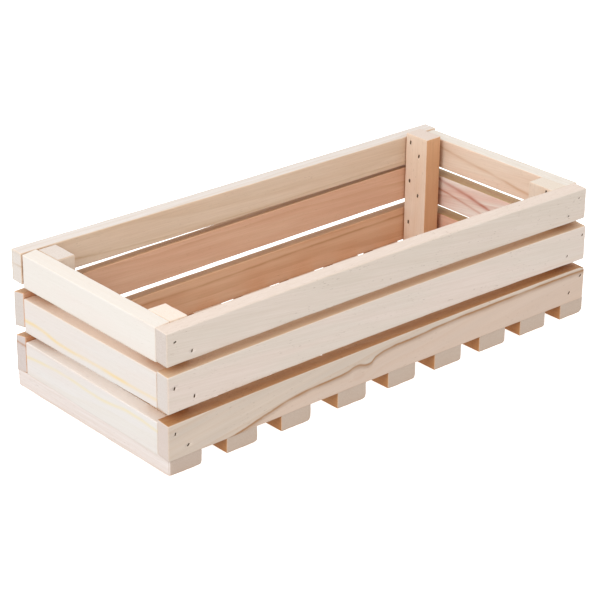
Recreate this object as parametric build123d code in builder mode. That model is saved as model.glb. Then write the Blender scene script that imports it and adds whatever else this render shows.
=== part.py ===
"""Slatted wooden apple crate: three slats a side, four corner posts, nine floor slats, brads.

X runs along the crate, Y across it, Z up. The origin is the centre of the base.
"""
import os

from build123d import *

os.makedirs("parts", exist_ok=True)

# ---- driving dimensions, mm -------------------------------------------------------------

crate_length = 400.0             # X, over the end slats
crate_width = 176.0              # Y, over the front and rear slats

side_thickness = 12.0            # front and rear slats
end_thickness = 12.0             # slats across the two ends
floor_thickness = 12.0           # slats under the crate
post_along_x = 15.0
post_along_y = 24.0
edge_ease = 0.5                  # chamfer on every sawn edge

bottom_slat_height = 27.0
middle_slat_height = 26.5
top_slat_height = 25.0
lower_gap = 8.5                  # between the bottom and the middle slats
upper_gap = 7.0                  # between the middle and the top slats

# the stock is sawn by eye, so the four walls differ a little
rear_bottom_extra = 2.0          # the bottom slat at the rear is this much taller
rear_middle_lift = 2.0           # the middle slat at the rear sits this much higher
end_bottom_trim = 1.0            # the end slats are this much lower than the front ones
end_middle_trim = 0.5

floor_slat_count = 9
floor_slat_width = 27.0
last_floor_slat_width = 24.5     # the right-hand one was ripped from a narrower strip
# how far each floor slat between the outer two was nailed from its even place
floor_slat_shifts = (1.5, 2.5, 7.0, 8.0, 7.0, 6.0, 2.0)

# ---- brads: flat-sided, with a T head sunk just below the wood --------------------------

head_long = 2.8
head_wide = 1.4
head_depth = 0.8
shank_long = 1.4
shank_wide = 1.2
brad_set = 0.4                   # from the wood's surface down to the head
brad_gap = 1.0                   # least wood left between two brads that cross

side_brad_grip = 13.0            # how far a side brad goes on past its slat
upper_brad_inset = 8.0           # from a slat's top edge down to its upper brad
lower_brad_inset = 8.0           # from a slat's bottom edge up to its lower brad
corner_brad_inset = 5.0          # from the crate's end to the brads in the end slats
post_brad_rise = 3.0             # post brads sit this much higher than the side brads
post_brad_inset = 6.0            # from the side slat to the nearer post brad
floor_brad_inset = 7.0           # from a floor slat's long edge to its brad
floor_brad_stagger = 2.0         # floor brads sit either side of the slat's middle

side_slants = (33.0, 68.0)       # how far the heads are turned, degrees
post_slants = (84.0, 76.0)
floor_slants = (12.0, 35.0)

# ---- worked-out sizes -------------------------------------------------------------------

half_length = crate_length / 2
half_width = crate_width / 2
inner_half_width = half_width - side_thickness
inner_half_length = half_length - end_thickness
post_face_x = inner_half_length - post_along_x
shank_half = shank_long / 2

middle_low = floor_thickness + bottom_slat_height + lower_gap
top_low = middle_low + middle_slat_height + upper_gap
crate_height = top_low + top_slat_height

side_brad_length = side_thickness + side_brad_grip
post_brad_length = post_along_x + end_thickness - corner_brad_inset - shank_half - brad_gap
floor_brad_length = floor_thickness + lower_brad_inset - shank_half - brad_gap
far_post_brad_inset = side_brad_grip + shank_half + 2 * brad_gap

level_names = ("bottom", "middle", "top")
side_signs = {"front": -1, "rear": 1}
end_signs = {"left": -1, "right": 1}


def wall_levels(bottom_extra=0.0, middle_extra=0.0, middle_lift=0.0):
    """The low and high edge of each slat in one wall."""
    middle_start = middle_low + middle_lift
    return {
        "bottom": (floor_thickness, floor_thickness + bottom_slat_height + bottom_extra),
        "middle": (middle_start, middle_start + middle_slat_height + middle_extra),
        "top": (top_low, crate_height),
    }


side_levels = {
    "front": wall_levels(),
    "rear": wall_levels(bottom_extra=rear_bottom_extra, middle_lift=rear_middle_lift),
}
end_levels = wall_levels(bottom_extra=-end_bottom_trim, middle_extra=-end_middle_trim)


def floor_slat_spans():
    """The X range of each floor slat: even spacing, then each one's own shift."""
    widths = [floor_slat_width] * (floor_slat_count - 1) + [last_floor_slat_width]
    even_gap = (crate_length - sum(widths)) / (floor_slat_count - 1)
    shifts = (0.0,) + floor_slat_shifts + (0.0,)
    spans = []
    start = -half_length
    for width, shift in zip(widths, shifts):
        spans.append((start + shift, start + shift + width))
        start += width + even_gap
    return spans


floor_spans = floor_slat_spans()


# ---- brad places: a plane on the wood's surface, its normal pointing out of the wood ----

def surface_place(origin, across, outward, slant):
    """The plane's own X lies along the brad's head, turned by slant from across."""
    head_dir = Vector(across).rotate(Axis((0, 0, 0), outward), slant)
    return Plane(origin=origin, x_dir=head_dir, z_dir=outward)


def side_brad_places(side, level):
    """Two brads at each end of a long slat: one into the end slat, one into the post."""
    sign = side_signs[side]
    low, high = side_levels[side][level]
    corner_x = half_length - corner_brad_inset
    post_x = post_face_x + post_along_x / 2
    places = []
    for end_sign in end_signs.values():
        spots = ((corner_x, high - upper_brad_inset), (post_x, low + lower_brad_inset))
        for (x, z), slant in zip(spots, side_slants):
            origin = (end_sign * x, sign * half_width, z)
            places.append(surface_place(origin, (1, 0, 0), (0, sign, 0), slant))
    return places


def post_brad_places(end, side, level):
    """Two brads through a post, driven from inside the crate into the end slat."""
    end_sign = end_signs[end]
    side_sign = side_signs[side]
    low, high = end_levels[level]
    near_y = inner_half_width - post_brad_inset
    far_y = inner_half_width - far_post_brad_inset
    near_z = high - upper_brad_inset + post_brad_rise
    far_z = low + lower_brad_inset + post_brad_rise
    places = []
    for (y, z), slant in zip(((near_y, near_z), (far_y, far_z)), post_slants):
        origin = (end_sign * post_face_x, side_sign * y, z)
        places.append(surface_place(origin, (0, 1, 0), (-end_sign, 0, 0), slant))
    return places


def floor_brad_places(index, side):
    """Two brads up through one end of a floor slat into the bottom long slat."""
    sign = side_signs[side]
    start, finish = floor_spans[index]
    middle_y = half_width - side_thickness / 2
    spots = (
        (start + floor_brad_inset, middle_y - floor_brad_stagger),
        (finish - floor_brad_inset, middle_y + floor_brad_stagger),
    )
    places = []
    for (x, y), slant in zip(spots, floor_slants):
        places.append(surface_place((x, sign * y, 0), (1, 0, 0), (0, 0, -1), slant))
    return places


# ---- shapes ------------------------------------------------------------------------------

def make_brad(length):
    """One brad, pointing down -Z, its head brad_set below the surface at Z = 0."""
    with BuildPart() as brad:
        with BuildSketch(Plane.XY.offset(-brad_set)):
            Rectangle(head_long, head_wide)
        extrude(amount=-head_depth)
        with BuildSketch(Plane.XY.offset(-brad_set - head_depth)):
            Rectangle(shank_long, shank_wide)
        extrude(amount=-(length - brad_set - head_depth))
    return brad.part


def make_pocket(length):
    """The hole a brad makes: the brad's own shape, open to the surface over the head."""
    with BuildPart() as pocket:
        with BuildSketch(Plane.XY):
            Rectangle(head_long, head_wide)
        extrude(amount=-(brad_set + head_depth))
        with BuildSketch(Plane.XY.offset(-brad_set - head_depth)):
            Rectangle(shank_long, shank_wide)
        extrude(amount=-(length - brad_set - head_depth))
    return pocket.part


side_pocket = make_pocket(side_brad_length)
post_pocket = make_pocket(post_brad_length)
floor_pocket = make_pocket(floor_brad_length)


def save(part, name):
    part.label = name
    export_step(part, f"parts/{name}.step")


def save_board(name, x_range, y_range, z_range, pockets):
    """A sawn board with eased edges and the holes of the brads that pass through it."""
    length = x_range[1] - x_range[0]
    width = y_range[1] - y_range[0]
    height = z_range[1] - z_range[0]
    middle = (sum(x_range) / 2, sum(y_range) / 2)
    with BuildPart() as board:
        with BuildSketch(Plane.XY.offset(z_range[0])):
            with Locations(middle):
                Rectangle(length, width)
        extrude(amount=height)
        chamfer(board.edges(), edge_ease)
        for pocket, places in pockets:
            with Locations(*places):
                add(pocket, mode=Mode.SUBTRACT)
    save(board.part, name)


def save_brads(name, length, places):
    """A group of loose brads, one solid each."""
    brad = make_brad(length)
    with BuildPart() as group:
        with Locations(*places):
            add(brad)
    save(group.part, name)


# ---- front and rear slats -----------------------------------------------------------------

for side, sign in side_signs.items():
    y_range = sorted((sign * inner_half_width, sign * half_width))
    for level in level_names:
        pockets = [(side_pocket, side_brad_places(side, level))]
        if level == "bottom":
            under = [p for i in range(floor_slat_count) for p in floor_brad_places(i, side)]
            pockets.append((floor_pocket, under))
        save_board(
            f"{side}_slat_{level}",
            (-half_length, half_length),
            y_range,
            side_levels[side][level],
            pockets,
        )

# ---- end slats, between the long ones -----------------------------------------------------

for end, sign in end_signs.items():
    x_range = sorted((sign * inner_half_length, sign * half_length))
    for level in level_names:
        from_sides = [p for side in side_signs for p in side_brad_places(side, level)]
        from_posts = [p for side in side_signs for p in post_brad_places(end, side, level)]
        save_board(
            f"{end}_end_slat_{level}",
            x_range,
            (-inner_half_width, inner_half_width),
            end_levels[level],
            [(side_pocket, from_sides), (post_pocket, from_posts)],
        )

# ---- corner posts, standing on the outer floor slats --------------------------------------

for end, end_sign in end_signs.items():
    x_range = sorted((end_sign * post_face_x, end_sign * inner_half_length))
    for side, side_sign in side_signs.items():
        inner_y = inner_half_width - post_along_y
        y_range = sorted((side_sign * inner_y, side_sign * inner_half_width))
        from_sides = [p for level in level_names for p in side_brad_places(side, level)]
        through = [p for level in level_names for p in post_brad_places(end, side, level)]
        save_board(
            f"corner_post_{side}_{end}",
            x_range,
            y_range,
            (floor_thickness, crate_height),
            [(side_pocket, from_sides), (post_pocket, through)],
        )

# ---- floor slats --------------------------------------------------------------------------

for index, x_range in enumerate(floor_spans):
    under = [p for side in side_signs for p in floor_brad_places(index, side)]
    save_board(
        f"floor_slat_{index + 1}",
        x_range,
        (-half_width, half_width),
        (0.0, floor_thickness),
        [(floor_pocket, under)],
    )

# ---- brads --------------------------------------------------------------------------------

for side in side_signs:
    places = [p for level in level_names for p in side_brad_places(side, level)]
    save_brads(f"{side}_slat_brads", side_brad_length, places)

for end in end_signs:
    places = [
        p for side in side_signs for level in level_names for p in post_brad_places(end, side, level)
    ]
    save_brads(f"{end}_post_brads", post_brad_length, places)

floor_places = [
    p for i in range(floor_slat_count) for side in side_signs for p in floor_brad_places(i, side)
]
save_brads("floor_brads", floor_brad_length, floor_places)

print("crate height", crate_height, "brad lengths", side_brad_length, post_brad_length,
      floor_brad_length)
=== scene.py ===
import math

import bmesh
import bpy
import numpy as np
from mathutils import Matrix, Quaternion, Vector


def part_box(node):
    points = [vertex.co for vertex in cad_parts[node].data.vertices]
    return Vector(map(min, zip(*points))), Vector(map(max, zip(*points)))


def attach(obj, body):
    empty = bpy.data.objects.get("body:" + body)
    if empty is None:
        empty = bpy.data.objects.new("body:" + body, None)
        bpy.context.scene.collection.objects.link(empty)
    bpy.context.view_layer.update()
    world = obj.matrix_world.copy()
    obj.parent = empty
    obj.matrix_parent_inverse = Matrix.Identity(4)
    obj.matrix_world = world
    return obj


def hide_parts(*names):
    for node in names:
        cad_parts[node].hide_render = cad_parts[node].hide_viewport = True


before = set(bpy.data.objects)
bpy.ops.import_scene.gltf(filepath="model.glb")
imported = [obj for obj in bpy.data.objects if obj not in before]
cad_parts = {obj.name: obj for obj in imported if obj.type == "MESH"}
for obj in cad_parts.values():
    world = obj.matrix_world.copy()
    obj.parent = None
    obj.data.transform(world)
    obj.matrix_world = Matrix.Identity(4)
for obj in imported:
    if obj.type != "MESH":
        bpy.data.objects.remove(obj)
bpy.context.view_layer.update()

mm = 0.001
noShift = (0.0, 0.0, 0.0)
scene = bpy.context.scene


def shade(red, green, blue):
    # a colour as it is mixed on screen, 0 to 255, turned to the linear values that shaders use
    linear = []
    for value in (red, green, blue):
        part = value / 255
        linear.append(part / 12.92 if part <= 0.04045 else ((part + 0.055) / 1.055) ** 2.4)
    return (*linear, 1.0)


def fill(sockets, values):
    # each value is a number, a vector or a colour, or another node's output to link
    for key, value in values.items():
        if isinstance(value, bpy.types.NodeSocket):
            value.id_data.links.new(value, sockets[key])
        else:
            sockets[key].default_value = value


def addNode(tree, kind, inputs=None, **settings):
    node = tree.nodes.new(kind)
    for key, value in settings.items():
        setattr(node, key, value)
    fill(node.inputs, inputs or {})
    return node


def addSockets(tree, direction, sockets):
    # a socket is given by its value, or by its kind alone
    for name, value in sockets.items():
        if isinstance(value, str):
            kind = value
        elif isinstance(value, tuple):
            kind = "Vector" if len(value) == 3 else "Color"
        else:
            kind = "Int" if isinstance(value, int) else "Float"
        socket = tree.interface.new_socket(name=name, in_out=direction, socket_type="NodeSocket" + kind)
        if not isinstance(value, str):
            socket.default_value = value


def treeOf(*values):
    # sums are added to the tree that their first linked value comes from
    return next(value.id_data for value in values if isinstance(value, bpy.types.NodeSocket))


def calculate(operation, *values):
    return addNode(treeOf(*values), "ShaderNodeMath", dict(enumerate(values)), operation=operation).outputs[0]


def times(first, second):
    return calculate("MULTIPLY", first, second)


def plus(first, second):
    return calculate("ADD", first, second)


def minus(first, second):
    return calculate("SUBTRACT", first, second)


def farFrom(first, second):
    return calculate("SQRT", plus(times(first, first), times(second, second)))


def combine(*parts):
    return addNode(treeOf(*parts), "ShaderNodeCombineXYZ", dict(enumerate(parts))).outputs[0]


def split(vector):
    return addNode(vector.id_data, "ShaderNodeSeparateXYZ", {0: vector}).outputs


def vectorMath(operation, first, second=None):
    inputs = {0: first}
    if second is not None:
        inputs[3 if operation == "SCALE" else 1] = second
    node = addNode(treeOf(first), "ShaderNodeVectorMath", inputs, operation=operation)
    return node.outputs["Value" if operation == "DOT_PRODUCT" else 0]


def spread(value, low, high, start=0.0, finish=1.0, shape="SMOOTHSTEP"):
    # a step from start to finish as the value goes from low to high, smooth unless it is linear
    node = addNode(value.id_data, "ShaderNodeMapRange", {
        "Value": value, "From Min": low, "From Max": high, "To Min": start, "To Max": finish},
        interpolation_type=shape)
    return node.outputs[0]


def noiseAt(vector, stretch, seed, detail=2.0, roughness=0.5, output="Fac"):
    # noise read in stretched coordinates, so that it runs along the grain
    node = addNode(vector.id_data, "ShaderNodeTexNoise", {
        "Vector": vectorMath("MULTIPLY", vector, stretch), "W": seed, "Scale": 1.0, "Detail": detail,
        "Roughness": roughness}, noise_dimensions="4D")
    return node.outputs[output]


def mixColour(factor, first, second, blend="MIX"):
    tree = treeOf(factor, first, second)
    node = addNode(tree, "ShaderNodeMix", None, data_type="RGBA", blend_type=blend)
    sockets = {socket.identifier: socket for socket in node.inputs}
    fill(sockets, {"Factor_Float": factor, "A_Color": first, "B_Color": second})
    return next(socket for socket in node.outputs if socket.identifier == "Result_Color")


def tint(first, second):
    return mixColour(1.0, first, second, "MULTIPLY")


print("frame read,", len(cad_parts), "nodes")

# how a sawn board is shaped: one geometry tree, used for every board

boardShape = {
    "edgeRound": 0.8 * mm,       # rounding of the sawn edges
    "edgeWear": 0.45,            # how much that rounding differs along an edge
    "edgeRoom": 1.6,             # how much wider than the rounding its cells reach
    "wander": 0.35 * mm,         # how far a face strays from flat
    "cellLong": 4.0 * mm,        # mesh cells along the grain
    "cellAcross": 1.6 * mm,
    "throughStretch": 1.5,       # how much longer they are through the board
    "edgeMark": 1.2 * mm,        # how far in from an edge its wear shows
    "edgeCells": 3,              # cells spent on the rounding itself
}


def finishShape(geometry, material):
    # every geometry tree ends this way
    tree = geometry.id_data
    real = addNode(tree, "GeometryNodeRealizeInstances", {0: geometry}).outputs[0]
    covered = addNode(tree, "GeometryNodeSetMaterial", {"Geometry": real, "Material": material}).outputs[0]
    addNode(tree, "NodeGroupOutput", {0: covered})


def makeBoardTree():
    tree = bpy.data.node_groups.new("sawnBoard", "GeometryNodeTree")
    addSockets(tree, "INPUT", {
        "Geometry": "Geometry", "Size": (0.4, 0.012, 0.027),
        "Cells long": 100, "Cells through": 10, "Cells across": 18,
        "Edge round": 0.0008, "Edge wear": 0.4, "Edge cells": 3.0, "Wander": 0.0003,
        "Bow": noShift, "Swing": noShift, "Lean": 0.0, "Seed": 1.0, "Place": noShift, "Turn": noShift,
        "Wood": "Material"})
    addSockets(tree, "OUTPUT", {"Geometry": "Geometry"})
    given = tree.nodes.new("NodeGroupInput").outputs
    size = given["Size"]
    seed = given["Seed"]
    counts = [given[name] for name in ("Cells long", "Cells through", "Cells across")]
    cube = addNode(tree, "GeometryNodeMeshCube", {
        "Size": size, "Vertices X": plus(counts[0], 1.0), "Vertices Y": plus(counts[1], 1.0),
        "Vertices Z": plus(counts[2], 1.0)})

    # the cells near each edge are squeezed into the rounding, the others share what is left
    half = vectorMath("SCALE", size, 0.5)
    cells = combine(*counts)
    halfCells = vectorMath("SCALE", cells, 0.5)
    place = tree.nodes.new("GeometryNodeInputPosition").outputs[0]
    fromMiddle = vectorMath("DIVIDE", vectorMath("ABSOLUTE", place), vectorMath("DIVIDE", size, cells))
    fromEdge = vectorMath("SUBTRACT", halfCells, fromMiddle)
    edgeCells = combine(*[given["Edge cells"]] * 3)
    inEdge = vectorMath("DIVIDE", vectorMath("MINIMUM", fromEdge, edgeCells), edgeCells)
    past = vectorMath("MAXIMUM", vectorMath("SUBTRACT", fromEdge, edgeCells), noShift)
    pastShare = vectorMath("DIVIDE", past, vectorMath("SUBTRACT", halfCells, edgeCells))
    widest = combine(*[times(given["Edge round"], boardShape["edgeRoom"])] * 3)
    depth = vectorMath("ADD", vectorMath("MULTIPLY", inEdge, widest),
                       vectorMath("MULTIPLY", pastShare, vectorMath("SUBTRACT", half, widest)))
    squeezed = vectorMath("MULTIPLY", vectorMath("SIGN", place), vectorMath("SUBTRACT", half, depth))

    # the rounding, worn more in some places than in others
    wear = spread(noiseAt(squeezed, (45.0, 120.0, 120.0), seed), 0.3, 0.7, -1.0, 1.0, "LINEAR")
    rounding = times(given["Edge round"], calculate("MULTIPLY_ADD", wear, given["Edge wear"], 1.0))
    limit = vectorMath("SUBTRACT", half, combine(rounding, rounding, rounding))
    inner = vectorMath("MAXIMUM", vectorMath("MINIMUM", squeezed, limit), vectorMath("SCALE", limit, -1.0))
    away = vectorMath("NORMALIZE", vectorMath("SUBTRACT", squeezed, inner))
    rounded = vectorMath("ADD", inner, vectorMath("SCALE", away, rounding))

    # sawn by eye: the faces wander a little, and the board bows, swings and leans
    stray = noiseAt(rounded, (14.0, 40.0, 40.0), seed, 1.0, output="Color")
    stray = vectorMath("SCALE", vectorMath("SUBTRACT", stray, (0.5, 0.5, 0.5)), given["Wander"])
    along, through, across = split(vectorMath("DIVIDE", rounded, half))
    shaped = vectorMath("SUBTRACT", rounded, vectorMath("SCALE", given["Bow"], times(along, along)))
    shaped = vectorMath("ADD", shaped, vectorMath("SCALE", given["Swing"], along))
    shaped = vectorMath("ADD", shaped, combine(0.0, 0.0, times(through, given["Lean"])))
    shaped = vectorMath("ADD", shaped, stray)
    moved = addNode(tree, "GeometryNodeSetPosition", {"Geometry": cube.outputs["Mesh"], "Position": shaped})
    placed = addNode(tree, "GeometryNodeTransform", {
        "Geometry": moved.outputs[0], "Translation": given["Place"], "Rotation": given["Turn"]})
    smooth = addNode(tree, "GeometryNodeSetShadeSmooth", {"Geometry": placed.outputs[0]})
    finishShape(smooth.outputs[0], given["Wood"])
    return tree


def growMesh(tree, values, name, base=None):
    # runs a geometry tree with these named inputs and keeps the result as a plain mesh object
    base = base or bpy.data.meshes.new(name + "Base")
    holder = bpy.data.objects.new(name + "Holder", base)
    scene.collection.objects.link(holder)
    modifier = holder.modifiers.new("grow", "NODES")
    modifier.node_group = tree
    for item in tree.interface.items_tree:
        if item.in_out == "INPUT" and item.name in values:
            value = values[item.name]
            modifier[item.identifier] = tuple(value) if isinstance(value, Vector) else value
    graph = bpy.context.evaluated_depsgraph_get()
    grown = bpy.data.meshes.new_from_object(holder.evaluated_get(graph), depsgraph=graph)
    holder.modifiers.remove(modifier)
    bpy.data.objects.remove(holder)
    piece = bpy.data.objects.new(name, grown)
    grown.name = name
    scene.collection.objects.link(piece)
    return piece


# the look of the wood

def makeSoftwood():
    # sawn softwood in millimetres: X along the grain, Y through the board, Z across it
    tree = bpy.data.node_groups.new("sawnSoftwood", "ShaderNodeTree")
    addSockets(tree, "INPUT", {
        "Grain": "Vector", "End face": 0.0, "Side face": 0.0, "Edge": 0.0, "Open": 1.0, "Seed": 1.0,
        "Pale wood": shade(226, 208, 188), "Warm wood": shade(224, 192, 170), "Warmth": 0.6,
        "Ring wood": shade(196, 158, 118), "Ring gap": 2.4, "Ring strength": 0.4, "Wander": 5.0,
        "Pith through": 30.0, "Pith across": 5.0, "Slope": 0.03, "Fibres": 0.6, "Dashes": 0.5,
        "Knot along": 5000.0, "Knot across": 0.0, "Knot size": 2.0, "Knot dark": 0.8,
        "End wood": shade(238, 227, 217), "Side wood and painted light": shade(222, 204, 186), "Deep": 1.0})
    addSockets(tree, "OUTPUT", {"Colour": "Color", "Roughness": "Float", "Height": "Float"})
    given = tree.nodes.new("NodeGroupInput").outputs
    seed = given["Seed"]
    along, through, across = split(given["Grain"])
    sloped = calculate("MULTIPLY_ADD", along, given["Slope"], across)
    grain = combine(along, through, sloped)

    # a knot pushes the rings round it
    knotAlong = times(minus(along, given["Knot along"]), 0.6)
    knotFar = farFrom(knotAlong, minus(across, given["Knot across"]))
    knotFar = calculate("DIVIDE", knotFar, given["Knot size"])
    knotPush = times(calculate("EXPONENT", times(times(knotFar, knotFar), -0.16)), given["Knot size"])
    knotCore = spread(knotFar, 0.75, 1.15, 1.0, 0.0)

    # growth rings round a pith that wanders along the board
    slow = times(minus(noiseAt(grain, (0.007, 0.02, 0.02), seed, 1.0), 0.5), given["Wander"])
    quick = times(minus(noiseAt(grain, (0.035, 0.13, 0.13), seed), 0.5), 1.3)
    reach = farFrom(minus(through, given["Pith through"]), minus(sloped, given["Pith across"]))
    reach = plus(plus(reach, slow), plus(quick, knotPush))
    rings = calculate("DIVIDE", reach, given["Ring gap"])
    phase = calculate("FRACT", rings)
    ringAmount = addNode(tree, "ShaderNodeTexWhiteNoise", {"W": plus(calculate("FLOOR", rings), seed)},
                         noise_dimensions="1D").outputs["Value"]
    late = times(spread(phase, 0.35, 0.92), spread(phase, 0.93, 1.0, 1.0, 0.0))
    late = times(late, spread(ringAmount, 0.1, 1.0, 0.3, 1.0))

    # fibres, pores and slow patches of tone
    fibre = noiseAt(grain, (0.022, 0.9, 0.9), seed, 4.0, 0.6)
    fine = noiseAt(grain, (0.14, 4.5, 4.5), seed)
    patch = noiseAt(grain, (0.011, 0.07, 0.07), seed)
    poreNoise = noiseAt(grain, (0.24, 2.2, 2.2), seed, 1.0)
    poreRoom = noiseAt(grain, (0.02, 0.12, 0.12), seed, 1.0)
    pores = times(spread(poreNoise, 0.66, 0.75), spread(poreRoom, 0.4, 0.6))

    warm = times(spread(patch, 0.36, 0.64), given["Warmth"])
    colour = mixColour(warm, given["Pale wood"], given["Warm wood"])
    # narrow faces take a colour of their own, given per board: the wood of those faces with painted light in
    # it, darker and warmer where they lie in shade in the gaps and paler on the lit top rim
    colour = mixColour(given["Side face"], colour, given["Side wood and painted light"])
    colour = mixColour(times(late, given["Ring strength"]), colour, given["Ring wood"])
    streak = times(spread(fibre, 0.32, 0.68, 0.05, -0.07), given["Fibres"])
    streak = plus(streak, spread(fine, 0.3, 0.7, 1.01, 0.985))
    streakColour = addNode(tree, "ShaderNodeCombineColor", {
        0: streak, 1: calculate("POWER", streak, 1.25), 2: calculate("POWER", streak, 1.6)}).outputs[0]
    colour = tint(colour, streakColour)
    colour = mixColour(times(pores, given["Dashes"]), colour, tint(colour, shade(150, 132, 112)))
    colour = mixColour(times(knotCore, given["Knot dark"]), colour, tint(colour, shade(190, 140, 96)))

    # cut ends drink more light, worn edges catch some, and recesses get painted shade: darker, warmer colour
    # where ambient occlusion finds wood close by
    endSpeck = noiseAt(grain, (0.5, 1.6, 1.6), seed, 3.0)
    endTint = mixColour(spread(endSpeck, 0.35, 0.65), shade(241, 234, 228), shade(252, 247, 243))
    endColour = tint(mixColour(0.85, colour, given["End wood"]), endTint)
    colour = mixColour(given["End face"], colour, endColour)
    colour = mixColour(times(given["Edge"], 0.5), colour, tint(colour, shade(250, 241, 230)))
    # painted shade: how much the recess colour is darkened, scaled per board
    recessShade = times(minus(1.0, given["Open"]), given["Deep"])
    colour = mixColour(recessShade, colour, tint(colour, shade(242, 213, 185)))

    rough = plus(spread(fibre, 0.3, 0.7, 0.52, 0.66), times(given["End face"], 0.12))
    height = plus(plus(times(fibre, 0.5), times(fine, 0.35)), times(late, 0.25))
    height = minus(height, times(pores, 0.4))
    height = plus(height, times(endSpeck, given["End face"]))
    addNode(tree, "NodeGroupOutput", {"Colour": colour, "Roughness": rough, "Height": height})
    return tree


# a vein's line is drawn in millimetres from the board's middle, along and across it, end to end
veinDefaults = {"width": 0.5, "fade": 3.0, "strength": 0.8, "fadeAmount": 0.35, "wobble": 1.2,
                "under": (222, 190, 166), "underAmount": 0.0, "over": (232, 214, 190), "overAmount": 0.0,
                "colour": (168, 118, 74)}
veinReach = 20.0


def addVein(grain, colour, vein):
    # a dark growth line that crosses a board along a drawn curve, with its own tone beside it
    along, through, across = split(grain)
    length = 2 * vein["line"][-1][0]
    curve = addNode(grain.id_data, "ShaderNodeFloatCurve", {
        "Value": spread(along, -length / 2, length / 2, shape="LINEAR")})
    points = curve.mapping.curves[0].points
    drawn = [((x + length / 2) / length, (z + veinReach) / (2 * veinReach)) for x, z in vein["line"]]
    points[0].location = drawn[0]
    points[-1].location = drawn[-1]
    for spot in drawn[1:-1]:
        points.new(*spot)
    curve.mapping.update()
    level = spread(curve.outputs[0], 0.0, 1.0, -veinReach, veinReach, "LINEAR")
    wobble = times(minus(noiseAt(grain, (0.09, 0.2, 0.2), 3.0, 3.0), 0.5), vein["wobble"])
    off = plus(minus(across, level), wobble)
    strength = spread(noiseAt(grain, (0.03, 0.1, 0.1), 8.0), 0.3, 0.6, 0.45, 1.0)
    strength = times(strength, vein["strength"])
    line = calculate("EXPONENT", times(times(off, off), -1 / vein["width"] ** 2))
    below = times(spread(off, -vein["fade"], 0.0), spread(off, 0.0, 0.4, 1.0, 0.0))
    under = times(spread(off, -vein["fade"], -0.2, 1.0, 0.0), vein["underAmount"])
    over = times(spread(off, 0.0, 1.2), vein["overAmount"])
    dark = shade(*vein["colour"])
    colour = mixColour(under, colour, shade(*vein["under"]))
    colour = mixColour(over, colour, shade(*vein["over"]))
    colour = mixColour(times(below, times(strength, vein["fadeAmount"])), colour, dark)
    return mixColour(times(line, strength), colour, dark)


def newMaterial(name):
    material = bpy.data.materials.new(name)
    material.use_nodes = True
    material.node_tree.nodes.clear()
    return material, material.node_tree


def addSurface(tree, height, bumpStrength, bumpDepth, values):
    bump = addNode(tree, "ShaderNodeBump", {
        "Strength": bumpStrength, "Distance": bumpDepth, "Height": height})
    surface = addNode(tree, "ShaderNodeBsdfPrincipled", {**values, "Normal": bump.outputs[0]})
    addNode(tree, "ShaderNodeOutputMaterial", {0: surface.outputs[0]})


def plainNoise(tree, scale, detail):
    place = addNode(tree, "ShaderNodeTexCoord").outputs["Object"]
    return addNode(tree, "ShaderNodeTexNoise", {
        "Vector": place, "Scale": scale, "Detail": detail}).outputs["Fac"]


softwood = makeSoftwood()
# the last entry is how far the painted shade in recesses looks for nearby wood
woodShine = {"specular": 0.28, "bumpStrength": 0.32, "bumpDepth": 0.25 * mm, "shadeReach": 25 * mm}


def woodMaterial(name, middle, turn, look):
    # turn's first column is the way of the grain, and its last the way across the board
    material, tree = newMaterial(name)
    place = addNode(tree, "ShaderNodeTexCoord")
    grain = addNode(tree, "ShaderNodeMapping", {
        "Vector": place.outputs["Object"], "Location": middle, "Rotation": turn.to_euler(),
        "Scale": (mm, mm, mm)}, vector_type="TEXTURE").outputs[0]

    def facing(axis, low):
        towards = vectorMath("DOT_PRODUCT", place.outputs["Normal"], axis)
        return spread(calculate("ABSOLUTE", towards), low, 0.95)

    sideFace = facing(turn.col[2], 0.72)
    # ambient occlusion drives the painted shade, a darker, warmer colour in recesses and gaps
    occlusion = addNode(tree, "ShaderNodeAmbientOcclusion", {"Distance": woodShine["shadeReach"]}, samples=6)
    values = {"Grain": grain, "End face": facing(turn.col[0], 0.75), "Side face": sideFace,
              "Edge": addNode(tree, "ShaderNodeAttribute", attribute_name="edge").outputs["Fac"],
              "Open": spread(occlusion.outputs["AO"], 0.05, 0.6)}
    for key, value in look.items():
        if key != "veins":
            values[key] = shade(*value) if isinstance(value, tuple) else value
    wood = addNode(tree, "ShaderNodeGroup", values, node_tree=softwood).outputs
    colour = wood["Colour"]
    for vein in look.get("veins", ()):
        colour = addVein(grain, colour, {**veinDefaults, **vein})
    colour = mixColour(sideFace, colour, wood["Colour"])
    addSurface(tree, wood["Height"], woodShine["bumpStrength"], woodShine["bumpDepth"], {
        "Base Color": colour, "Roughness": wood["Roughness"], "Specular IOR Level": woodShine["specular"]})
    return material


def makeCrushedWoodAndShade():
    # the torn, darkened wood round a driven brad, its dark brown partly painted shade for the hollow of the
    # dent
    material, tree = newMaterial("crushedWood")
    torn = plainNoise(tree, 2500.0, 3.0)
    addSurface(tree, torn, 0.6, 0.1 * mm, {
        "Base Color": mixColour(spread(torn, 0.35, 0.65), shade(74, 52, 34), shade(134, 102, 72)),
        "Roughness": spread(torn, 0.3, 0.7, 0.75, 0.95), "Specular IOR Level": 0.15})
    return material


crushedWood = makeCrushedWoodAndShade()
boardTree = makeBoardTree()
print("wood and board shape ready")

# brad places

bradPlaces = {
    "cornerInset": 5.0 * mm, "upperInset": 8.0 * mm, "lowerInset": 8.0 * mm, "postRise": 3.0 * mm,
    "postInset": 6.0 * mm, "farPostInset": 15.7 * mm, "floorInset": 7.0 * mm, "floorStagger": 2.0 * mm,
    "sideSlants": (33.0, 68.0), "postSlants": (84.0, 76.0), "floorSlants": (12.0, 35.0),
}
levels = ("bottom", "middle", "top")
sides = {"front": -1, "rear": 1}
ends = {"left": -1, "right": 1}


def bradSpot(origin, across, outward, slant):
    # where a brad's head goes: its point on the wood, its long way, and the way out of the wood
    outward = Vector(outward)
    headway = Quaternion(outward, math.radians(slant)) @ Vector(across)
    return Vector(origin), headway, outward


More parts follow.
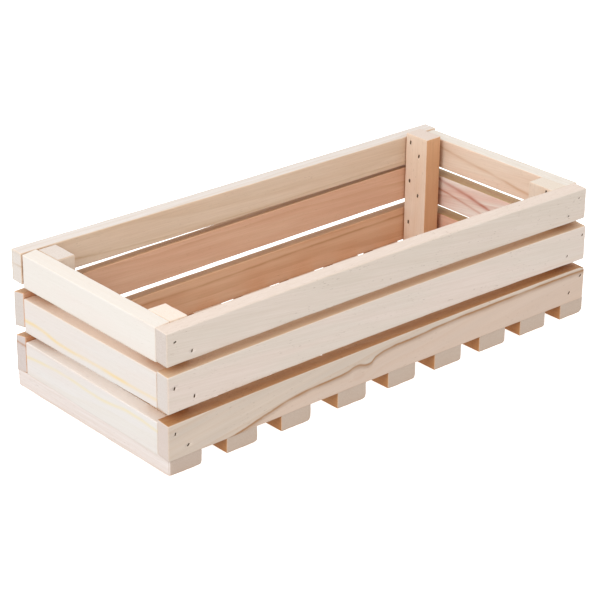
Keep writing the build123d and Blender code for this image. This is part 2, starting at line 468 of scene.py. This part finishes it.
# how far brads were driven from their even places: along, out and up (mm), and turned (degrees)
bradStrays = {
    ("front", "top"): ((1.9, 0, -0.3, -12), (1.3, 0, -1.7, 8), (-4.6, 0, -0.5, 5), (-0.6, 0, -3.4, 0)),
    ("front", "middle"): ((0.5, 0, -1.5, 40), (2.5, 0, -1.8, 12), (1.1, 0, 0, 20), (0.2, 0, -2.8, -10)),
    ("front", "bottom"): ((0.9, 0, -0.5, 45), (-2.9, 0, -1.1, -20), (2.0, 0, 0.9, 0), (5.0, 0, 0.6, -15)),
    ("rear", "top"): ((0.5, 1.2, 0.4, 10), (-0.8, 1.1, 0.6, -8), (-1.5, 0, -1.4, 6), (0.7, 0, -0.9, 12)),
}
evenPlace = (0.0, 0.0, 0.0, 0.0)


def sideSpots(side, level):
    sign = sides[side]
    strays = list(bradStrays.get((side, level), [evenPlace] * 4))
    low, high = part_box(f"{side}_slat_{level}")
    face = high.y if sign > 0 else low.y
    spots = []
    for end, endSign in ends.items():
        postLow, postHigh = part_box(f"corner_post_{side}_{end}")
        cornerX = endSign * (high.x - bradPlaces["cornerInset"])
        postX = (postLow.x + postHigh.x) / 2
        heights = (high.z - bradPlaces["upperInset"], low.z + bradPlaces["lowerInset"])
        for x, z, slant in zip((cornerX, postX), heights, bradPlaces["sideSlants"]):
            along, out, up, turned = strays.pop(0)
            origin = (x + along * mm, face + sign * out * mm, z + up * mm)
            spots.append(bradSpot(origin, (1, 0, 0), (0, sign, 0), slant + turned))
    return spots


postStray = {("rear", "right"): -7.0 * mm, ("rear", "left"): 1.5 * mm}   # two posts stand a little way off


def postSpots(end, side):
    endSign = ends[end]
    sideSign = sides[side]
    postLow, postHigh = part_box(f"corner_post_{side}_{end}")
    face = (postLow.x if endSign > 0 else postHigh.x) + postStray.get((side, end), 0.0)
    outerY = max(abs(postLow.y), abs(postHigh.y))
    spots = []
    for level in levels:
        low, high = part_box(f"{end}_end_slat_{level}")
        near = (outerY - bradPlaces["postInset"], high.z - bradPlaces["upperInset"] + bradPlaces["postRise"])
        far = (outerY - bradPlaces["farPostInset"], low.z + bradPlaces["lowerInset"] + bradPlaces["postRise"])
        for (y, z), slant in zip((near, far), bradPlaces["postSlants"]):
            spots.append(bradSpot((face, sideSign * y, z), (0, 1, 0), (-endSign, 0, 0), slant))
    return spots


# how far the floor slats lie to the right, and how they stand against the long slats, in mm
floorStray = (0.0, 1.4, 2.0, 2.5, 2.8, 3.0, 3.0, 3.0, 1.9)
floorRise = 3.5
floorSet = 0.35
floorNumbers = range(1, len(floorStray) + 1)


def floorSpots(number):
    low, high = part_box(f"floor_slat_{number}")
    stray = floorStray[number - 1] * mm
    slatLow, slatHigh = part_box("front_slat_bottom")
    middleY = abs(slatLow.y + slatHigh.y) / 2
    spots = []
    for sign in sides.values():
        wheres = ((low.x + stray + bradPlaces["floorInset"], middleY - bradPlaces["floorStagger"]),
                  (high.x + stray - bradPlaces["floorInset"], middleY + bradPlaces["floorStagger"]))
        for (x, y), slant in zip(wheres, bradPlaces["floorSlants"]):
            spots.append(bradSpot((x, sign * y, low.z), (1, 0, 0), (0, 0, -1), slant))
    return spots


def spotMatrix(spot):
    origin, headway, outward = spot
    sideways = outward.cross(headway)
    return Matrix.Translation(origin) @ Matrix((headway, sideways, outward)).transposed().to_4x4()


# dents over the brads, cut into the boards

dentShape = {
    "long": 2.8 * mm, "wide": 1.4 * mm, "squareness": 0.6, "count": 20,
    "depth": 1.2 * mm, "seat": 0.25 * mm, "lip": 0.05 * mm, "proud": 0.6 * mm,   # heights of its rings
    "flare": 1.18, "topFlare": 1.1,
}


def dentRing(mesh, matrix, height, size):
    # one ring of a dent: an oval with squared ends
    ring = []
    for step in range(dentShape["count"]):
        angle = math.tau * step / dentShape["count"]
        spot = []
        for part, width in ((math.cos(angle), dentShape["long"]), (math.sin(angle), dentShape["wide"])):
            spot.append(math.copysign(abs(part) ** dentShape["squareness"], part) * width / 2 * size)
        ring.append(mesh.verts.new(matrix @ Vector((*spot, height))))
    return ring


def cutDents(board, spots, sizes):
    mesh = bmesh.new()
    for spot, size in zip(spots, sizes):
        matrix = spotMatrix(spot)
        rings = [
            dentRing(mesh, matrix, -dentShape["depth"], size),
            dentRing(mesh, matrix, -dentShape["seat"], size),
            dentRing(mesh, matrix, dentShape["lip"], size * dentShape["flare"]),
            dentRing(mesh, matrix, dentShape["proud"], size * dentShape["flare"] * dentShape["topFlare"]),
        ]
        for lower, upper in zip(rings, rings[1:]):
            for step in range(len(lower)):
                after = (step + 1) % len(lower)
                mesh.faces.new((lower[step], lower[after], upper[after], upper[step]))
        mesh.faces.new(list(reversed(rings[0])))
        mesh.faces.new(rings[-1])
    bmesh.ops.recalc_face_normals(mesh, faces=mesh.faces)
    cutterMesh = bpy.data.meshes.new("dentCutter")
    mesh.to_mesh(cutterMesh)
    mesh.free()
    # the dent walls take the crushed wood colour, part real darkening and part painted shade in the hollow
    cutterMesh.materials.append(crushedWood)
    cutter = bpy.data.objects.new("dentCutter", cutterMesh)
    scene.collection.objects.link(cutter)
    modifier = board.modifiers.new("dents", "BOOLEAN")
    modifier.object = cutter
    modifier.operation = "DIFFERENCE"
    modifier.solver = "EXACT"
    modifier.material_mode = "TRANSFER"
    graph = bpy.context.evaluated_depsgraph_get()
    cut = bpy.data.meshes.new_from_object(board.evaluated_get(graph), depsgraph=graph)
    board.modifiers.remove(modifier)
    old = board.data
    board.data = cut
    bpy.data.meshes.remove(old)
    cut.name = board.name
    bpy.data.objects.remove(cutter)


# making one board

# how a board's own axes (along the grain, through, across) lie in the crate
boardTurns = {
    "side": Matrix(((1, 0, 0), (0, 1, 0), (0, 0, 1))),
    "end": Matrix(((0, -1, 0), (1, 0, 0), (0, 0, 1))),
    "floor": Matrix(((0, 0, 1), (1, 0, 0), (0, 1, 0))),
    "post": Matrix(((0, 1, 0), (0, 0, 1), (1, 0, 0))),
}


def wearRound(board, turn, middle, size, axis, wear):
    # wears a corner to a curve: "x" rounds an end of the wide face, "y" rounds a long edge
    # wear is (which way along that axis, which way across the board, radius in mm)
    axisSide, acrossSide, radius = wear
    radius *= mm
    axisCentre = axisSide * (getattr(size, axis) / 2 - radius)
    acrossCentre = acrossSide * (size.z / 2 - radius)
    back = turn.transposed()
    for vertex in board.data.vertices:
        local = back @ (vertex.co - middle)
        out = (getattr(local, axis) - axisCentre) * axisSide
        across = (local.z - acrossCentre) * acrossSide
        if out > 0 and across > 0:
            share = max(out, across) / math.hypot(out, across)
            setattr(local, axis, axisCentre + out * share * axisSide)
            local.z = acrossCentre + across * share * acrossSide
            vertex.co = middle + turn @ local


def markEdges(board, low, high):
    # 1 on the sawn edges, fading to 0 a little way in
    co = np.empty(len(board.data.vertices) * 3)
    board.data.vertices.foreach_get("co", co)
    co = co.reshape(-1, 3)
    depths = np.sort(np.minimum(np.abs(co - np.array(low)), np.abs(np.array(high) - co)), axis=1)
    edge = np.clip(1 - depths[:, 1] / boardShape["edgeMark"], 0, 1)
    attribute = board.data.attributes.new("edge", "FLOAT", "POINT")
    attribute.data.foreach_set("value", edge.astype(np.float32))


def makeBoard(node, kind, settings, spots=()):
    # form, in mm: bow is how far both ends stray, swing how far the far end does, lean how much higher
    # the far face sits, lowShift and highShift move the board's faces, corners and edges wear it round
    form = settings["form"]
    low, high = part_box(node)
    low = low + Vector(form.get("lowShift", noShift)) * mm
    high = high + Vector(form.get("highShift", noShift)) * mm
    middle = (low + high) / 2
    turn = boardTurns[kind]
    across = turn.transposed() @ (high - low)
    size = Vector((abs(across.x), abs(across.y), abs(across.z)))
    name = "".join(part.capitalize() for part in node.split("_"))
    name = name[0].lower() + name[1:]
    wood = woodMaterial(name + "Wood", middle, turn, {"Seed": settings["seed"], **settings["look"]})
    edgeCells = boardShape["edgeCells"]

    def cellCount(length, cell):
        return 2 * max(edgeCells + 2, round(length / cell / 2) + edgeCells)

    board = growMesh(boardTree, {
        "Size": size,
        "Cells long": cellCount(size.x, boardShape["cellLong"]),
        "Cells through": cellCount(size.y, boardShape["cellAcross"] * boardShape["throughStretch"]),
        "Cells across": cellCount(size.z, boardShape["cellAcross"]),
        "Edge round": boardShape["edgeRound"],
        "Edge wear": boardShape["edgeWear"],
        "Edge cells": float(edgeCells),
        "Wander": boardShape["wander"],
        "Bow": Vector(form.get("bow", noShift)) * mm,
        "Swing": Vector(form.get("swing", noShift)) * mm,
        "Lean": form.get("lean", 0.0) * mm,
        "Seed": float(settings["seed"]),
        "Place": middle,
        "Turn": Vector(turn.to_euler()),
        "Wood": wood,
    }, name)
    for key, axis in (("corners", "x"), ("edges", "y")):
        for wear in form.get(key, ()):
            wearRound(board, turn, middle, size, axis, wear)
    if spots:
        cutDents(board, spots, form.get("dents") or [1.0] * len(spots))
    markEdges(board, low, high)
    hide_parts(node)
    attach(board, "root")
    return board


# front slats

# the side wood colours hold painted shade: darker and warmer on the middle and bottom slats, whose narrow
# faces lie in the gaps
frontSlats = {
    "top": {
        "seed": 11,
        "form": {"bow": (0, -0.2, 2), "swing": (0, 0, -0.9), "lean": 0.35, "lowShift": (0, 0, 1.2),
                 "highShift": (-1.8, 0, 0.7), "corners": [(1, 1, 3.2)], "dents": (0.85, 0.8, 0.55, 0.6)},
        "look": {"Pale wood": (215, 202, 189), "Warm wood": (219, 204, 192), "Ring wood": (198, 180, 160),
                 "Side wood and painted light": (213, 197, 185), "End wood": (205, 199, 196), "Ring gap": 6.5,
                 "Ring strength": 0.16, "Pith through": 60, "Pith across": -22, "Wander": 9, "Dashes": 0.8,
                 "Warmth": 0.7, "Slope": 0.12, "Fibres": 0.5}},
    "middle": {
        "seed": 23,
        "form": {"bow": (0, 0.3, 2.1), "swing": (0, 0, -0.6), "lean": 0.5, "lowShift": (0, 0, 0.9),
                 "highShift": (-0.3, 0, 1.7), "corners": [(1, 1, 2.2)], "dents": (0.75, 0.75, 0.6, 0.55)},
        "look": {"Pale wood": (218, 205, 193), "Warm wood": (223, 206, 195), "Ring wood": (206, 184, 164),
                 "Side wood and painted light": (208, 177, 146), "End wood": (210, 207, 206), "Ring gap": 7.5,
                 "Ring strength": 0.14, "Pith through": 70, "Pith across": 18, "Wander": 10, "Dashes": 0.55,
                 "Warmth": 0.8, "Slope": 0.1, "Fibres": 0.45}},
    "bottom": {
        "seed": 37,
        "form": {"bow": (0, 0, 1.5), "swing": (0, 0, 0.4), "lean": 0.5, "lowShift": (0, 0, 1.3),
                 "highShift": (1.5, 0, 1.15), "corners": [(1, 1, 5.5), (1, -1, 1.5)],
                 "dents": (0.75, 0.8, 0.8, 0.85)},
        "look": {"Pale wood": (196, 181, 168), "Warm wood": (208, 189, 173), "Ring wood": (186, 150, 118),
                 "Side wood and painted light": (176, 129, 87), "End wood": (198, 191, 194), "Ring gap": 4.2,
                 "Ring strength": 0.36, "Pith through": 38, "Pith across": -30, "Wander": 9, "Dashes": 1,
                 "Warmth": 0.7, "Slope": -0.12, "Fibres": 0.5, "Knot along": -31, "Knot across": -6.5,
                 "Knot size": 3.6, "Knot dark": 0.15,
                 "veins": [{"line": [(-200, -21), (-153, -16), (-120, -9), (-86, -2.5), (-42, 0), (-33, 2),
                                     (-22, 0), (-16, 3.5), (0, 6.5), (30, 7.5), (44, 8.5), (104, 9.5),
                                     (200, 9)],
                            "width": 0.8, "fade": 4.6, "strength": 0.95, "fadeAmount": 0.65, "wobble": 1.3,
                            "under": (217, 191, 172), "underAmount": 0.6, "over": (222, 206, 188),
                            "overAmount": 0.3, "colour": (160, 114, 72)}]}},
}

for level in levels:
    makeBoard(f"front_slat_{level}", "side", frontSlats[level], sideSpots("front", level))
print("front slats made")

# rear slats

# the side wood colours hold painted light and shade: paler on the top slat's lit rim, darker on the narrow
# faces in the gaps
rearSlats = {
    "top": {
        "seed": 41,
        "form": {"bow": (0, -0.7, 0), "swing": (0, -0.6, -1.1), "lowShift": (0, 0, 0.1),
                 "highShift": (-1, 0, -1)},
        "look": {"Pale wood": (219, 197, 175), "Warm wood": (216, 190, 166), "Ring wood": (192, 160, 124),
                 "Side wood and painted light": (212, 203, 196), "End wood": (218, 218, 217), "Ring gap": 6,
                 "Ring strength": 0.3, "Pith through": -50, "Pith across": 20, "Wander": 12, "Dashes": 0.35,
                 "Warmth": 0.7,
                 "veins": [{"line": [(-200, 3), (-150, -4), (-90, -8), (0, -10), (110, -9), (200, -11)],
                            "colour": (180, 146, 100), "strength": 0.35, "width": 0.7}]}},
    "middle": {
        "seed": 53,
        "form": {"bow": (0, -0.3, 0.6), "swing": (0, 0, 0.9), "lean": -1.1, "lowShift": (0, 0, 0.1),
                 "highShift": (-1, 0, 0.4)},
        "look": {"Pale wood": (218, 178, 150), "Warm wood": (213, 168, 140), "Ring wood": (190, 140, 106),
                 "Side wood and painted light": (196, 156, 116), "End wood": (207, 208, 208), "Ring gap": 5,
                 "Ring strength": 0.35, "Pith through": -42, "Pith across": -24, "Wander": 10,
                 "Dashes": 0.3, "Warmth": 0.8}},
    "bottom": {
        "seed": 67,
        "form": {"bow": (0, -0.2, 0.45), "swing": (0, 0, 0.8), "lean": -1.1, "lowShift": (0, 0, 1.9),
                 "highShift": (-1, 0, 1.25)},
        "look": {"Pale wood": (219, 179, 147), "Warm wood": (213, 165, 131), "Ring wood": (184, 134, 96),
                 "Side wood and painted light": (198, 160, 122), "End wood": (204, 202, 204), "Ring gap": 5.5,
                 "Pith through": -36, "Pith across": 10, "Wander": 9, "Dashes": 0.3, "Warmth": 0.8,
                 "veins": [{"line": [(-200, 7), (-120, 8), (-40, 7.5), (50, 9), (200, 9.5)],
                            "colour": (170, 116, 74), "strength": 0.6, "width": 0.8, "fade": 3.5}]}},
}

for level in levels:
    makeBoard(f"rear_slat_{level}", "side", rearSlats[level], sideSpots("rear", level))
print("rear slats made")

# end slats

# the side wood colours hold painted light and shade on the narrow faces in the gaps, and the left slats take
# less of the painted shade in their recesses
endSlats = {
    "left": {
        "top": {
            "seed": 71,
            "form": {"lean": -0.6, "highShift": (0, -0.5, 0.6), "corners": [(1, 1, 1.2)]},
            "look": {"Pale wood": (221, 215, 208), "Warm wood": (222, 212, 205),
                     "Ring wood": (214, 200, 184), "Side wood and painted light": (217, 209, 200), "Ring gap": 9,
                     "Ring strength": 0.14, "Pith through": 60, "Pith across": 16, "Wander": 8,
                     "Dashes": 0.2, "Fibres": 0.15}},
        "middle": {
            "seed": 83,
            "form": {"swing": (0, 0, -0.5), "lowShift": (0, 0, -1.2), "highShift": (0, 0, -0.9)},
            "look": {"Pale wood": (216, 210, 205), "Warm wood": (218, 207, 200),
                     "Ring wood": (212, 196, 172), "Side wood and painted light": (228, 208, 192), "Deep": 0.8, "Ring gap": 9,
                     "Ring strength": 0.12, "Pith through": 60, "Pith across": -30, "Wander": 6,
                     "Dashes": 0.2, "Fibres": 0.2,
                     "veins": [{"line": [(-80, -6), (-47, -7), (-2, -6.5), (33, -7), (57, -4), (80, -4)],
                                "colour": (226, 200, 146), "width": 1.3, "fade": 3.5}]}},
        "bottom": {
            "seed": 97,
            "form": {"swing": (0, 0, 1), "highShift": (0, 0, -0.9)},
            "look": {"Pale wood": (216, 211, 207), "Warm wood": (216, 206, 201),
                     "Ring wood": (210, 200, 178), "Side wood and painted light": (234, 228, 222), "Deep": 0.4, "Ring gap": 9,
                     "Ring strength": 0.16, "Pith through": 55, "Pith across": -26, "Wander": 10,
                     "Dashes": 0.2, "Fibres": 0.2,
                     "veins": [{"line": [(-80, 4.5), (-46, 7), (-12, 4), (34, 5.5), (80, 2)],
                                "colour": (222, 206, 160), "strength": 0.55, "width": 1.2}]}},
    },
    "right": {
        "top": {
            "seed": 103,
            "form": {"swing": (0, 1.5, -0.5), "lowShift": (-1.5, 0, -1.5), "highShift": (-1.5, 0, -2.5)},
            "look": {"Pale wood": (224, 204, 186), "Warm wood": (222, 196, 176),
                     "Ring wood": (196, 160, 124), "Side wood and painted light": (216, 208, 198), "Ring gap": 6,
                     "Ring strength": 0.3, "Pith through": -46, "Pith across": 14, "Wander": 12,
                     "Dashes": 0.35, "Warmth": 0.8, "Slope": 0.08,
                     "veins": [{"line": [(-80, -9), (-40, -6), (0, -1), (30, 2), (60, 6), (80, 7)],
                                "colour": (190, 146, 108), "strength": 0.55, "width": 1.1, "fade": 4}]}},
        "middle": {
            "seed": 109,
            "form": {"swing": (0, 1.5, 0), "lowShift": (-1.5, 0, -0.6), "highShift": (-1.5, 0, -1.3)},
            "look": {"Pale wood": (228, 216, 208), "Warm wood": (222, 190, 178),
                     "Ring wood": (196, 142, 120), "Side wood and painted light": (196, 170, 132), "Ring gap": 5,
                     "Pith through": -40, "Pith across": -14, "Wander": 12, "Dashes": 0.35, "Warmth": 1,
                     "Slope": 0.14, "Fibres": 0.7,
                     "veins": [{"line": [(-80, -12), (-30, -5), (0, 0), (24, 5), (50, 9), (80, 14)],
                                "colour": (174, 96, 74), "strength": 0.95, "width": 1.4, "fade": 4.5},
                               {"line": [(-80, -16), (-30, -11), (0, -7), (30, -2), (50, 1), (80, 4)],
                                "colour": (186, 120, 94), "strength": 0.75, "width": 0.9, "fade": 2.5}]}},
        "bottom": {
            "seed": 127,
            "form": {"swing": (0, 1.5, 0), "lowShift": (-1.5, 0, 0), "highShift": (-1.5, 0, 2)},
            "look": {"Pale wood": (220, 184, 164), "Warm wood": (214, 164, 142),
                     "Ring wood": (190, 140, 110), "Side wood and painted light": (190, 160, 116), "Ring gap": 6,
                     "Pith through": -50, "Pith across": 18, "Wander": 8, "Dashes": 0.3, "Warmth": 0.8,
                     "Fibres": 0.7}},
    },
}

for end in ends:
    for level in levels:
        makeBoard(f"{end}_end_slat_{level}", "end", endSlats[end][level])
print("end slats made")

# corner posts

# the rear right post's side wood is painted shade for its face in the corner
cornerPosts = {
    ("front", "left"): {
        "seed": 131,
        "form": {"highShift": (0, 0, 1)},
        "look": {"Pale wood": (228, 217, 206), "Warm wood": (226, 208, 192), "End wood": (235, 225, 216)}},
    ("front", "right"): {
        "seed": 137,
        "form": {"highShift": (0, 0, -1.9)},
        "look": {"Pale wood": (220, 203, 186), "Warm wood": (218, 196, 176), "End wood": (221, 215, 205)}},
    ("rear", "left"): {
        "seed": 139,
        "form": {"lowShift": (1.5, 0, 0), "highShift": (1.5, -0.5, 0)},
        "look": {"Pale wood": (214, 192, 168), "Warm wood": (212, 184, 158), "End wood": (215, 211, 208)}},
    ("rear", "right"): {
        "seed": 149,
        "form": {"lowShift": (-7, 0, 0), "highShift": (-6.8, -0.6, 1.8)},
        "look": {"Pale wood": (226, 206, 188), "Warm wood": (222, 198, 176), "Side wood and painted light": (210, 162, 122),
                 "End wood": (215, 205, 199)}},
}
postLook = {"Ring wood": (202, 170, 138), "Ring gap": 6.5, "Ring strength": 0.22, "Pith through": 26,
            "Pith across": 16, "Dashes": 0.35, "Warmth": 0.8, "Fibres": 0.45}

for (side, end), settings in cornerPosts.items():
    settings["look"] = {**postLook, **settings["look"]}
    makeBoard(f"corner_post_{side}_{end}", "post", settings, postSpots(end, side))
print("corner posts made")

# floor slats

# the side wood colour is painted shade for the slats' sides in the gaps between them, paler on the first
# slat's outer side
floorSlats = {
    "seed": 151, "seedStep": 6,
    "pithLow": -14, "pithStep": 7, "pithRange": 28,
    "ringGap": 3.8, "ringGapStep": 0.3, "ringGaps": 4,
    "outerRise": 1.0,            # how high the two outermost ones reach
    "firstWider": 1.4,           # the left one is this much wider
    "cornerRadius": 2.6,
    "edgeRadius": (2.4, 2.8, 3.2, 3, 2.4, 2.2, 2.4, 2.2, 3.6),
    "look": {"Pale wood": (214, 196, 178), "Warm wood": (210, 184, 160), "Ring wood": (188, 152, 118),
             "Side wood and painted light": (188, 138, 90), "End wood": (198, 184, 172), "Pith through": -40,
             "Ring strength": 0.3, "Wander": 8, "Dashes": 0.4, "Warmth": 0.8},
    "firstLook": {"Pale wood": (226, 218, 213), "Warm wood": (224, 211, 205), "Ring strength": 0.12,
                  "Side wood and painted light": (218, 208, 203), "End wood": (194, 178, 165)},
}

for number in floorNumbers:
    first = number == floorNumbers[0]
    outermost = first or number == floorNumbers[-1]
    stray = floorStray[number - 1]
    makeBoard(f"floor_slat_{number}", "floor", {
        "seed": floorSlats["seed"] + floorSlats["seedStep"] * number,
        "look": {
            **floorSlats["look"], **(floorSlats["firstLook"] if first else {}),
            "Pith across": floorSlats["pithLow"] + number * floorSlats["pithStep"] % floorSlats["pithRange"],
            "Ring gap": floorSlats["ringGap"] + number % floorSlats["ringGaps"] * floorSlats["ringGapStep"]},
        "form": {
            "lowShift": (stray + (floorSet if first else 0.0), floorSet, 0),
            "highShift": (stray + (floorSlats["firstWider"] if first else 0.0), -floorSet,
                          floorSlats["outerRise"] if outermost else floorRise),
            "corners": [(-1, -1, floorSlats["cornerRadius"])] if first else (),
            "edges": [(-1, 1, floorSlats["edgeRadius"][number - 1])]},
    }, floorSpots(number))
print("floor slats made")

# brads

bradShape = {
    "Head long": 2.7 * mm, "Head wide": 1.3 * mm, "Head depth": 0.8 * mm, "Set": 0.45 * mm,
    "Shank wide": 1.3 * mm, "Point": 2.5 * mm, "Tip": 0.12, "Seed": 5,
}


def makeBradTree():
    # a T-head brad on every given point, its head set below the wood
    tree = bpy.data.node_groups.new("bradRow", "GeometryNodeTree")
    addSockets(tree, "INPUT", {
        "Geometry": "Geometry", "Head long": 0.0028, "Head wide": 0.0014, "Head depth": 0.0008, "Set": 0.0004,
        "Shank wide": 0.0013, "Length": 0.025, "Point": 0.0025, "Seed": 5, "Steel": "Material"})
    addSockets(tree, "OUTPUT", {"Geometry": "Geometry"})
    given = tree.nodes.new("NodeGroupInput").outputs
    brad = tree.nodes.new("GeometryNodeJoinGeometry")

    def addPart(shape, height, sizes, transform):
        # one part of a brad, its middle at this height
        mesh = addNode(tree, "GeometryNodeMesh" + shape, sizes).outputs["Mesh"]
        placed = addNode(tree, "GeometryNodeTransform", {
            "Geometry": mesh, "Translation": combine(0.0, 0.0, height), **transform})
        tree.links.new(placed.outputs[0], brad.inputs[0])

    headLow = plus(given["Set"], given["Head depth"])
    shankLong = minus(minus(given["Length"], given["Point"]), headLow)
    shankRadius = times(given["Shank wide"], 0.5)
    addPart("Cylinder", minus(times(given["Head depth"], -0.5), given["Set"]), {
        "Vertices": 12, "Radius": 0.5, "Depth": 1.0}, {
        "Scale": combine(given["Head long"], given["Head wide"], given["Head depth"])})
    addPart("Cylinder", minus(times(headLow, -1.0), times(shankLong, 0.5)), {
        "Vertices": 8, "Radius": shankRadius, "Depth": shankLong}, {})
    addPart("Cone", minus(given["Point"], given["Length"]), {
        "Vertices": 8, "Radius Top": times(given["Shank wide"], bradShape["Tip"]),
        "Radius Bottom": shankRadius, "Depth": given["Point"]}, {"Rotation": (math.pi, 0.0, 0.0)})
    turn = addNode(tree, "GeometryNodeInputNamedAttribute", {"Name": "turn"}, data_type="FLOAT_VECTOR")
    rotation = addNode(tree, "FunctionNodeEulerToRotation", {0: turn.outputs["Attribute"]})
    rows = addNode(tree, "GeometryNodeInstanceOnPoints", {
        "Points": given["Geometry"], "Instance": brad.outputs[0], "Rotation": rotation.outputs[0]})
    lean = addNode(tree, "FunctionNodeRandomValue", {
        "Min": (-0.02, -0.02, -0.09), "Max": (0.02, 0.02, 0.09), "Seed": given["Seed"]},
        data_type="FLOAT_VECTOR")
    leaned = addNode(tree, "GeometryNodeRotateInstances", {
        "Instances": rows.outputs[0], "Rotation": lean.outputs[0]})
    finishShape(leaned.outputs[0], given["Steel"])
    return tree


def makeSteel():
    # dull wire, darkened by handling, with small rust blooms
    material, tree = newMaterial("bradSteel")
    bloom = plainNoise(tree, 900.0, 4.0)
    scratch = plainNoise(tree, 4000.0, 2.0)
    colour = mixColour(spread(scratch, 0.3, 0.7), shade(96, 92, 84), shade(132, 128, 118))
    addSurface(tree, scratch, 0.3, 0.03 * mm, {
        "Base Color": mixColour(spread(bloom, 0.5, 0.68), colour, shade(110, 78, 48)),
        "Metallic": spread(bloom, 0.5, 0.68, 0.9, 0.2), "Roughness": spread(bloom, 0.4, 0.7, 0.42, 0.8)})
    return material


def makeBrads(name, node, spots, length):
    base = bpy.data.meshes.new(name + "Points")
    base.from_pydata([spot[0] for spot in spots], [], [])
    turns = base.attributes.new("turn", "FLOAT_VECTOR", "POINT")
    for index, spot in enumerate(spots):
        turns.data[index].vector = spotMatrix(spot).to_3x3().to_euler()
    piece = growMesh(bradTree, {**bradShape, "Length": length, "Steel": steel}, name, base)
    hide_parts(node)
    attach(piece, "root")
    return piece


bradTree = makeBradTree()
steel = makeSteel()
bradLengths = {"side": 25.0 * mm, "post": 20.3 * mm, "floor": 18.3 * mm}
for side in sides:
    spots = [spot for level in levels for spot in sideSpots(side, level)]
    makeBrads(f"{side}SlatBrads", f"{side}_slat_brads", spots, bradLengths["side"])
for end in ends:
    spots = [spot for side in sides for spot in postSpots(end, side)]
    makeBrads(f"{end}PostBrads", f"{end}_post_brads", spots, bradLengths["post"])
spots = [spot for number in floorNumbers for spot in floorSpots(number)]
makeBrads("floorBrads", "floor_brads", spots, bradLengths["floor"])
print("brads made")

# floor, light and camera

studio = {
    "floorSize": 8.0, "floorDrop": 0.3 * mm, "floorGlow": 0.8,
    "skyTop": 1.1, "skyLow": 0.8, "skyBlend": 0.35,
    "keyPower": 30.5, "keySize": 1.6, "keyPlace": (-2.1, -0.55, 1.55),
}


def makeFloor():
    mesh = bmesh.new()
    bmesh.ops.create_grid(mesh, x_segments=8, y_segments=8, size=studio["floorSize"] / 2)
    bmesh.ops.translate(mesh, verts=mesh.verts, vec=(0, 0, -studio["floorDrop"]))
    data = bpy.data.meshes.new("studioFloor")
    mesh.to_mesh(data)
    mesh.free()
    floor = bpy.data.objects.new("studioFloor", data)
    scene.collection.objects.link(floor)
    material, tree = newMaterial("paleFloor")
    colour = mixColour(plainNoise(tree, 300.0, 2.0), shade(232, 232, 232), shade(236, 236, 236))
    surface = addNode(tree, "ShaderNodeBsdfPrincipled", {
        "Base Color": colour, "Roughness": 0.9, "Specular IOR Level": 0.0,
        "Emission Color": (1.0, 1.0, 1.0, 1.0), "Emission Strength": studio["floorGlow"]})
    addNode(tree, "ShaderNodeOutputMaterial", {0: surface.outputs[0]})
    data.materials.append(material)
    floor.visible_diffuse = False
    floor.visible_glossy = False


def makeLight():
    world = bpy.data.worlds.new("studioSky")
    scene.world = world
    world.use_nodes = True
    tree = world.node_tree
    tree.nodes.clear()
    upward = split(addNode(tree, "ShaderNodeTexCoord").outputs["Generated"])[2]
    level = spread(upward, -studio["skyBlend"], studio["skyBlend"], studio["skyLow"], studio["skyTop"])
    sky = addNode(tree, "ShaderNodeBackground", {"Color": (1.0, 1.0, 1.0, 1.0), "Strength": level})
    addNode(tree, "ShaderNodeOutputWorld", {0: sky.outputs[0]})
    key = bpy.data.lights.new("keyLight", "AREA")
    key.shape = "SQUARE"
    key.size = studio["keySize"]
    key.energy = studio["keyPower"]
    keyLight = bpy.data.objects.new("keyLight", key)
    keyLight.location = studio["keyPlace"]
    keyLight.rotation_euler = (-Vector(studio["keyPlace"])).to_track_quat("-Z", "Y").to_euler()
    scene.collection.objects.link(keyLight)


camera = {
    "around": -41.089, "above": 25.082, "roll": 0.568, "distance": 1.6433,
    "aimAlong": -0.00734, "aimUp": -0.01943, "aimHeight": 0.060, "lens": 134.642, "sensor": 36.0,
}


def makeCamera():
    around = math.radians(camera["around"])
    above = math.radians(camera["above"])
    back = Vector((math.sin(around) * math.cos(above), -math.cos(around) * math.cos(above), math.sin(above)))
    across = Vector((0, 0, 1)).cross(back).normalized()
    upward = back.cross(across)
    roll = Quaternion(back, math.radians(camera["roll"]))
    across = roll @ across
    upward = roll @ upward
    data = bpy.data.cameras.new("crateCamera")
    data.sensor_width = camera["sensor"]
    data.lens = camera["lens"]
    data.clip_start = 0.05
    data.clip_end = 50.0
    view = bpy.data.objects.new("crateCamera", data)
    place = Vector((0, 0, camera["aimHeight"])) + across * camera["aimAlong"] + upward * camera["aimUp"]
    place += back * camera["distance"]
    turn = Matrix((across, upward, back)).transposed().to_4x4()
    view.matrix_world = Matrix.Translation(place) @ turn
    scene.collection.objects.link(view)
    bpy.context.scene.camera = view


makeFloor()
makeLight()
makeCamera()
scene.view_settings.view_transform = "Standard"
print("floor, light and camera set")
